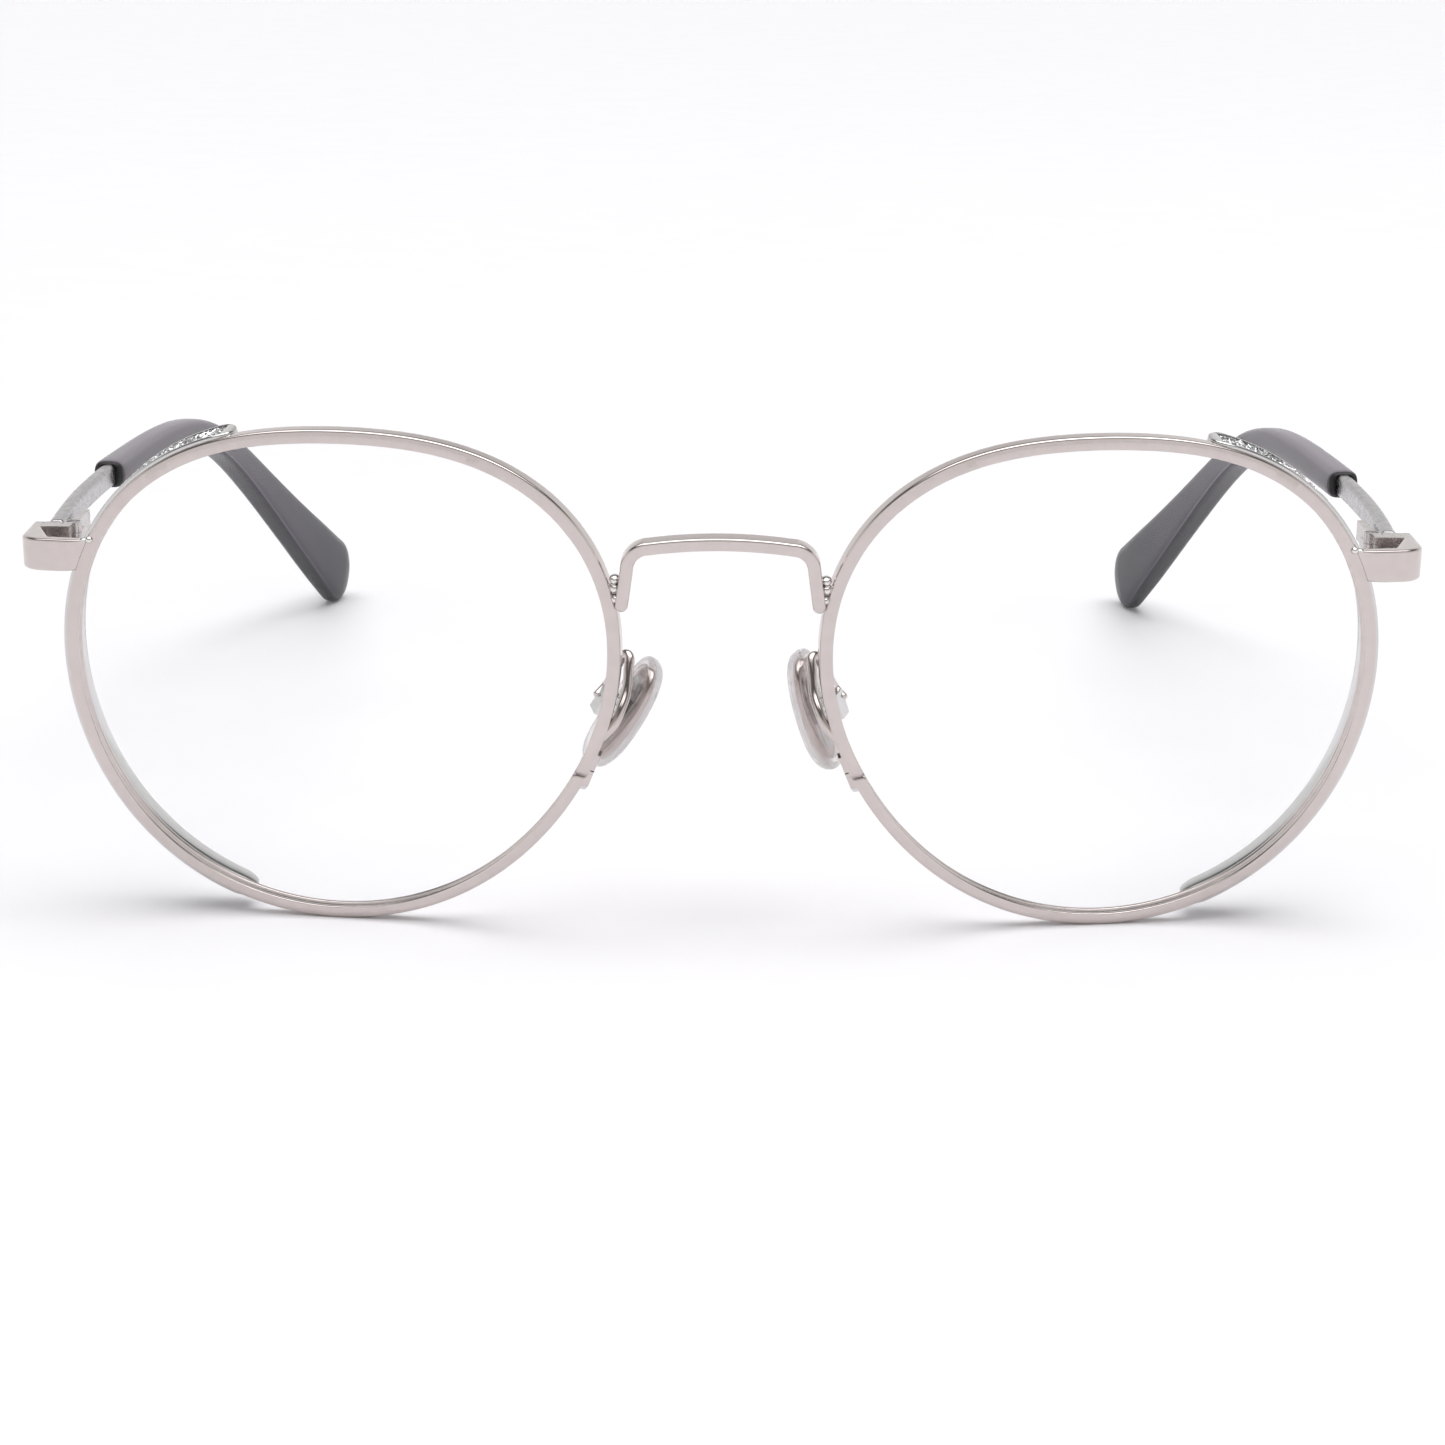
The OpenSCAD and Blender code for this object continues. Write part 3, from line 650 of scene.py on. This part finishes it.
def bridge():
    """A flat-fronted bar with softened edges and rounded leg ends, soldered to both rims."""
    shell = Shell()
    path = bridge_path()
    n = len(path)
    rings = []

    def ring_at(i, shift=0.0, k=1.0):
        (x0, y0), (x1, y1) = path[max(i - 1, 0)], path[min(i + 1, n - 1)]
        way = Vector((x1 - x0, 0, y1 - y0)).normalized()
        side = Vector((-way.z, 0, way.x))
        centre = Vector((path[i][0], BRIDGE_DEPTH / 2 - BRIDGE_LEAD, path[i][1])) + way * shift
        box = rounded_box(-BRIDGE_FACE / 2 * k, BRIDGE_FACE / 2 * k, -BRIDGE_DEPTH / 2 + 0.3 * (1 - k),
                          BRIDGE_DEPTH / 2 - 0.3 * (1 - k), min(0.28, 0.5 * BRIDGE_FACE * k * 0.96))
        return [ON_FRONT @ (centre + side * u + Vector((0, w, 0))) for u, w in box]

    half = BRIDGE_FACE / 2
    for k in (84, 62, 40, 20):
        rings.append(ring_at(0, -half * sind(k), cosd(k)))
    rings += [ring_at(i) for i in range(n)]
    for k in (20, 40, 62, 84):
        rings.append(ring_at(n - 1, half * sind(k), cosd(k)))
    shell.skin(rings)
    return shell.build("bridge_bar", 1, "front", ROSE, ["bridge"])


def bridge_solder(side):
    """Small beads of solder that fill the notch between a leg and the rim."""
    shell = Shell()
    for dx, dz, r in ((0.62, 2.3, 0.5), (0.62, 1.5, 0.55), (0.55, 0.5, 0.5)):
        centre = ON_FRONT @ Vector((LEG_END[0] + dx, 0.55, LEG_END[1] + dz))
        shell.ball(centre, (r, 0.8, r * 0.9), ON_FRONT.to_3x3())
    return shell.build(SIDES[side] + "bridge_solder", side, "front", SOLDER)


def rim_edge(z):
    """X and Y of the rim's outer front edge at a height, on the temple side."""
    low, high = 0.0, 60.0
    for _ in range(40):
        mid = (low + high) / 2
        low, high = (mid, high) if lens_point(mid, RIM_FACE, 0).z < z else (low, mid)
    p = lens_point(low, RIM_FACE, 0)
    return p.x, p.y - FRONT_Y


def endpiece_plan():
    """Outer and inner plan points from beyond the rim, round the corner and back to the hinge."""
    way = Vector((cosd(ENDPIECE_TURN), sind(ENDPIECE_TURN)))
    back = Vector((-way.y, way.x))
    start = Vector(ENDPIECE_START)
    cx = SIDE_X - CORNER_R
    along = (cx - start.x + CORNER_R * way.y) / way.x
    c = start + way * along + back * CORNER_R
    knee, leaf = start + back * ENDPIECE_T + way * (along - 0.4), Vector((WALL_X, LEAF_FRONT))
    rows = [(start + way * d, start + way * d + back * ENDPIECE_T) for d in (5.4, along - 0.4)]
    for i in range(1, 13):
        a = -90 + ENDPIECE_TURN + (90 - ENDPIECE_TURN) * i / 12
        rows.append((c + Vector((cosd(a), sind(a))) * CORNER_R, blend(knee, leaf, 0.27 * i / 12)))
    rows += [(Vector((SIDE_X, y)), blend(knee, leaf, k)) for y, k in ((8.0, 0.54), (9.0, 0.78))]
    tail = (LEAF_FRONT, 11.0, HINGE_Y - BUTT_GAP - 0.12)
    rows += [(Vector((SIDE_X, y)), Vector((WALL_X, y))) for y in tail]
    return way, back, start, rows


def endpiece(side):
    """A strip soldered to the rim's outer edge, wrapped round the corner with softened edges."""
    shell = Shell()
    way, back, start, rows = endpiece_plan()
    section = rounded_box(0, 1, -ENDPIECE_H / 2, ENDPIECE_H / 2, 0.3, 5)
    section = [(min(max(u / 0.4 * 0.16 if u < 0.3 else 1 - (1 - u) / 0.4 * 0.16 if u > 0.7 else u, 0), 1), z)
               for u, z in section]

    def ring_from(outer, inner, inset=0.0):
        thick = (inner - outer).length
        across = (inner - outer).normalized()
        points = []
        for u, z in section:
            p = outer + across * (inset + u * (thick - 2 * inset))
            points.append(Vector((p.x, FRONT_Y + p.y, ENDPIECE_Z + z * (1 - 2 * inset / ENDPIECE_H))))
        return points

    def ring_at_rim(d):
        """Follows the rim's curve, and sinks to the rim's face where it meets it."""
        points = []
        for u, z in section:
            x, y = rim_edge(ENDPIECE_Z + z)
            p = start + way * ((x + d - start.x) / way.x)
            front = blend(y + 0.1, p.y, ease((d + 0.35) / 1.95))
            shift = back * u * ENDPIECE_T
            points.append(Vector((p.x + shift.x, FRONT_Y + front + shift.y, ENDPIECE_Z + z)))
        return points

    rings = [ring_at_rim(d) for d in (-0.35, -0.1, 0.15, 0.45, 0.8, 1.15, 1.5)]
    rings += [ring_from(*row) for row in rows]
    outer, inner = rows[-1]
    tail = Vector((0, 0.12))
    rings.append(ring_from(outer + tail * 0.7, inner + tail * 0.7, 0.04))
    rings.append(ring_from(outer + tail, inner + tail, 0.12))
    shell.skin(rings)
    node = SIDES[side] + "endpiece"
    return shell.build(node + "_wrap", side, "front", ROSE, [node])


def endpiece_solder(side):
    """The bright bead of solder in the corner between the rim and the endpiece's top."""
    shell = Shell()
    top = ENDPIECE_Z + ENDPIECE_H / 2
    shell.ball((58.15, FRONT_Y + 4.25, top + 0.06), (0.42, 0.5, 0.36))
    shell.ball((58.7, FRONT_Y + 4.6, top - 0.02), (0.5, 0.5, 0.22))
    return shell.build(SIDES[side] + "endpiece_solder", side, "front", SOLDER)


# ---- temples ----
ARM_START = Vector((ARM_INNER + ARM_T / 2, HINGE_Y + BUTT_GAP / 2 + 0.05, ARM_Z))


def bow(t):
    """A point on the metal arm's middle line, which bows outward a little."""
    return blend(ARM_START, MOUTH, t) + Vector((0.5 * sind(180 * t), 0, 0))


def sleeve_point(t):
    return bezier(SLEEVE_CURVE, t)


def sleeve_way(t):
    return (sleeve_point(min(t + 0.01, 1)) - sleeve_point(max(t - 0.01, 0))).normalized()


def temple_ring(p, way, points):
    """Places a section's (across, up) points at a point of the temple."""
    lat = Vector((way.y, -way.x, 0)).normalized()
    up = lat.cross(way)
    centre = p + Vector((0, FRONT_Y, 0))
    return [centre + lat * u + up * v for u, v in points]


def sleeve_size(t):
    """A sleeve's width and height along its curve, and how much of them is left near the rounded end."""
    left = (SLEEVE_CURVE[3] - sleeve_point(t)).length
    full = 1 if left >= TIP_ROUND else math.sqrt(max(0.0, 1 - (1 - left / TIP_ROUND) ** 2))
    height = SLEEVE_H * (1 - t) ** 2 + 7.8 * t * (1 - t) + TIP_H * t ** 4
    width = (SLEEVE_T - 0.2 * t) * (0.35 + 0.65 * full) * (1 if full > 0.02 else 0.02)
    return width, height * max(full, 0.02), full


def temple_arm(side):
    """The flat metal arm with bevelled edges, run a little way into its sleeve."""
    shell = Shell()
    rings = []
    section = rounded_box(-ARM_T / 2, ARM_T / 2, -ARM_H / 2, ARM_H / 2, 0.5, 6)
    small = [(u * 0.8, v * 0.9) for u, v in section]
    for k, part in ((0.0, small), (0.003, section)):
        rings.append(temple_ring(bow(k), (bow(0.01) - bow(0)).normalized(), part))
    for i in range(1, 40):
        t = i / 40
        way = (bow(min(t + 0.01, 1)) - bow(t - 0.01)).normalized()
        rings.append(temple_ring(bow(t), way, section))
    for i in range(6):
        rings.append(temple_ring(sleeve_point(i * 0.004), sleeve_way(0.004 * i), section))
    core = superellipse(1.0, 1.8, 6, len(section))
    for i in range(1, 46):
        t = 0.03 + (0.9 - 0.03) * i / 45
        rings.append(temple_ring(sleeve_point(t), sleeve_way(t), core))
    shell.skin(rings)
    node = SIDES[side] + "temple_arm"
    return shell.build(node + "_metal", side, SIDES[side] + "temple", ARM_METAL, [node],
                       turn=temple_turn(side))


def temple_sleeve(side):
    """The acetate sleeve: an oval mouth that flattens into a broad paddle with a rounded end."""
    shell = Shell()
    n = 48
    rings = []
    w, h, _ = sleeve_size(0)
    way = sleeve_way(0)
    for inset, shift in ((0.30, 0.0), (0.12, 0.04), (0.03, 0.14), (0.0, 0.3)):
        rings.append([p + way * shift for p in temple_ring(sleeve_point(0), way,
                      superellipse(w - 2 * inset, h - 2 * inset, 3, n))])
    steps = 120
    for i in range(1, steps + 1):
        t = 1 - (1 - i / steps) ** 1.6
        if t * 99 < 0.6:
            continue
        w, h, _ = sleeve_size(t)
        power = 3 + 1.4 * ease((t - 0.2) / 0.4) - 1.6 * ease((t - 0.9) / 0.1)
        rings.append(temple_ring(sleeve_point(t), sleeve_way(t), superellipse(w, h, power, n)))
    shell.skin(rings)
    node = SIDES[side] + "temple_sleeve"
    return shell.build(node + "_acetate", side, SIDES[side] + "temple", ACETATE, [node],
                       crisp=False, turn=temple_turn(side))


def sleeve_collar(side):
    """A black ring at the sleeve's mouth, round the metal arm."""
    shell = Shell()
    way = sleeve_way(0)
    w, h, _ = sleeve_size(0)
    n = 48
    rings = []
    for inset, shift in ((0.34, 0.06), (0.10, 0.0), (0.11, -0.22), (0.2, -0.38), (0.36, -0.46)):
        outside = superellipse(w - 2 * inset, h - 2 * inset, 3, n)
        rings.append([p + way * shift for p in temple_ring(MOUTH, way, outside)])
    for grow, shift in ((0.10, -0.46), (0.06, -0.40), (0.06, 0.06)):
        inside = superellipse(ARM_T + grow, ARM_H + grow, 6, n)
        rings.append([p + way * shift for p in temple_ring(MOUTH, way, inside)])
    shell.skin(rings, closed=True)
    node = SIDES[side] + "sleeve_collar"
    return shell.build(node + "_ring", side, SIDES[side] + "temple", BLACK, [node],
                       turn=temple_turn(side))


# ---- nose pads ----
def pad_arm(side):
    """The bent wire from the rim, round its loop to the pad box."""
    shell = Shell()
    steps, spans = 96, len(WIRE_PATH) - 1
    points = [catmull(WIRE_PATH, k * spans / steps) + Vector((0, FRONT_Y, 0)) for k in range(steps + 1)]
    shell.skin(round_wire(points, PAD_WIRE / 2))
    node = SIDES[side] + "pad_arm"
    return shell.build(node + "_wire", side, "front", ROSE, [node], crisp=False)


def nose_pad(side):
    """A soft clear pad: a solid rounded drop with a flat back and a crowned face."""
    shell = Shell()
    turn = at_pad(side)
    n = 56
    # Depth into the pad, and how much shorter and narrower it is there
    rows = [(0.0, 2.0, 1.6), (0.0, 0.9, 0.8), (0.12, 0.35, 0.35), (0.3, 0.08, 0.08), (0.7, 0.0, 0.0),
            (1.05, 0.1, 0.1), (1.4, 0.5, 0.45), (1.65, 1.2, 1.0), (1.8, 2.4, 2.0), (1.87, 4.6, 3.2),
            (PAD_T, 8.0, 5.2)]
    rings = []
    for depth, less_l, less_w in rows:
        ring = []
        for i in range(n):
            c, s = cosd(360 * i / n), sind(360 * i / n)
            y = math.copysign(abs(c) ** 0.85, c) * (PAD_W - less_w) / 2
            z = math.copysign(abs(s) ** 0.85, s) * (PAD_L - less_l) / 2
            y *= 1 - 0.1 * z / (PAD_L / 2)
            sag = 0.012 * z * z
            ring.append(turn @ Vector((-PAD_BACK - depth + sag * 0.6, y, z)))
        rings.append(ring)
    shell.skin(rings)
    node = SIDES[side] + "nose_pad"
    return shell.build(node + "_silicone", side, SIDES[side] + "pad", SILICONE, [node],
                       crisp=False)


def pad_insert(side):
    """The thin metal plate moulded into a pad, crowned like the pad's face."""
    shell = Shell()
    turn = at_pad(side)
    rings = []
    rows = ((0.5, 0.5), (0.55, 0.12), (0.75, 0.0), (0.98, 0.12), (1.08, 0.5), (1.14, 1.6), (1.17, 3.2))
    for depth, less in rows:
        ring = []
        for u, v in superellipse(5.2 - less, 10.2 - less, 2.4, 48):
            ring.append(turn @ Vector((-PAD_BACK - depth + 0.008 * v * v, u, v)))
        rings.append(ring)
    shell.skin(rings)
    return shell.build(SIDES[side] + "pad_insert", side, SIDES[side] + "pad", ROSE)


# ---- CAD nodes that keep their shape ----
def keep_cad(names, material, bevel):
    """Gives carried-over metal nodes their plating and a small softened edge."""
    for name in names:
        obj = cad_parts[name]
        obj.data.materials.clear()
        obj.data.materials.append(material)
        soft = obj.modifiers.new("soft_edges", "BEVEL")
        soft.width = bevel * MM
        soft.segments = 2
        soft.limit_method = "ANGLE"
        soft.angle_limit = math.radians(35)
        soft.harden_normals = True


def both(*names):
    """Each name on the left side and on the right."""
    return [side + name for name in names for side in SIDES.values()]


def make_object():
    for side in SIDES:
        eyewire(side)
        lens(side)
        side_band(side)
        crystal_inlay(side)
        bridge_solder(side)
        endpiece(side)
        endpiece_solder(side)
        pad_arm(side)
        nose_pad(side)
        pad_insert(side)
        temple_arm(side)
        temple_sleeve(side)
        sleeve_collar(side)
    bridge()
    keep_cad(both("upper_closing_block", "lower_closing_block"), ROSE, 0.1)
    keep_cad(both("front_hinge", "temple_hinge"), HINGE_METAL, 0.12)
    keep_cad(both("rim_screw", "hinge_screw", "pad_screw"), STEEL, 0.04)
    keep_cad(both("pad_box", "pad_core"), SILVER, 0.08)


# ---- stage ----
def floor():
    """A wide plane just under the object, in metres."""
    mesh = bpy.data.meshes.new("floor")
    size, n, below = 12.0, 8, -0.00002
    marks = [(i / n - 0.5) * 2 * size for i in range(n + 1)]
    verts = [(x, y, below) for x in marks for y in marks]
    faces = [(i * (n + 1) + j, (i + 1) * (n + 1) + j, (i + 1) * (n + 1) + j + 1, i * (n + 1) + j + 1)
             for i in range(n) for j in range(n)]
    mesh.from_pydata(verts, [], faces)
    mesh.materials.append(floor_surface("pale_floor"))
    obj = bpy.data.objects.new("floor", mesh)
    bpy.context.scene.collection.objects.link(obj)


def area_light(name, place, target, size, power, colour=(1, 1, 1)):
    data = bpy.data.lights.new(name, "AREA")
    data.shape = "RECTANGLE"
    data.size, data.size_y = size
    data.energy = power
    data.color = colour
    obj = bpy.data.objects.new(name, data)
    obj.location = place
    obj.rotation_euler = (Vector(target) - Vector(place)).to_track_quat("-Z", "Y").to_euler()
    bpy.context.scene.collection.objects.link(obj)


def studio():
    """Soft light all round and one soft lamp overhead, in metres and watts."""
    world = bpy.data.worlds.new("studio")
    bpy.context.scene.world = world
    world.use_nodes = True
    nodes, links = world.node_tree.nodes, world.node_tree.links
    background = nodes["Background"]
    coord = nodes.new("ShaderNodeTexCoord")
    split = nodes.new("ShaderNodeSeparateXYZ")
    links.new(coord.outputs["Generated"], split.inputs["Vector"])
    # Pale walls, a dim band above them and a big soft light overhead
    shade = ramp(nodes, links, split.outputs["Z"], [
        (0.0, grey(0.25)), (0.3, grey(0.24)), (0.44, grey(0.19)), (0.56, grey(0.04)), (0.78, grey(0.035)),
        (0.87, grey(0.66)), (1.0, grey(0.7))])
    links.new(shade, background.inputs["Color"])
    background.inputs["Strength"].default_value = 3.6
    area_light("softbox", (0.35, -0.1, 0.8), (0, 0, 0.02), (0.5, 0.5), 0.9)
    view = bpy.context.scene.view_settings
    view.view_transform = "Standard"
    view.look = "None"
    view.exposure = 0.0


def camera():
    """The photograph's view: 16 degrees down, from in front, a little off centre and a little rolled."""
    down, yaw, roll = math.radians(16.42), math.radians(0.33), math.radians(0.415)
    distance, height, shift = 264.9, 99.26, 0.27
    right = Vector((math.cos(yaw), math.sin(yaw), 0))
    up = Vector((-math.sin(yaw) * math.sin(down), math.cos(yaw) * math.sin(down), math.cos(down)))
    ahead = Vector((-math.sin(yaw) * math.cos(down), math.cos(yaw) * math.cos(down), -math.sin(down)))
    x_axis = right * math.cos(roll) + up * math.sin(roll)
    y_axis = up * math.cos(roll) - right * math.sin(roll)
    place = Vector((shift * math.cos(yaw) + distance * math.sin(yaw),
                    shift * math.sin(yaw) - distance * math.cos(yaw) + FRONT_Y, height))
    data = bpy.data.cameras.new("camera")
    data.lens, data.sensor_width = 74.74, 36.0
    data.clip_start, data.clip_end = 0.01, 50
    obj = bpy.data.objects.new("camera", data)
    turn = Matrix((x_axis, y_axis, -ahead)).transposed().to_4x4()
    obj.matrix_world = Matrix.Translation(place * MM) @ turn
    bpy.context.scene.collection.objects.link(obj)
    bpy.context.scene.camera = obj


make_object()
floor()
studio()
camera()
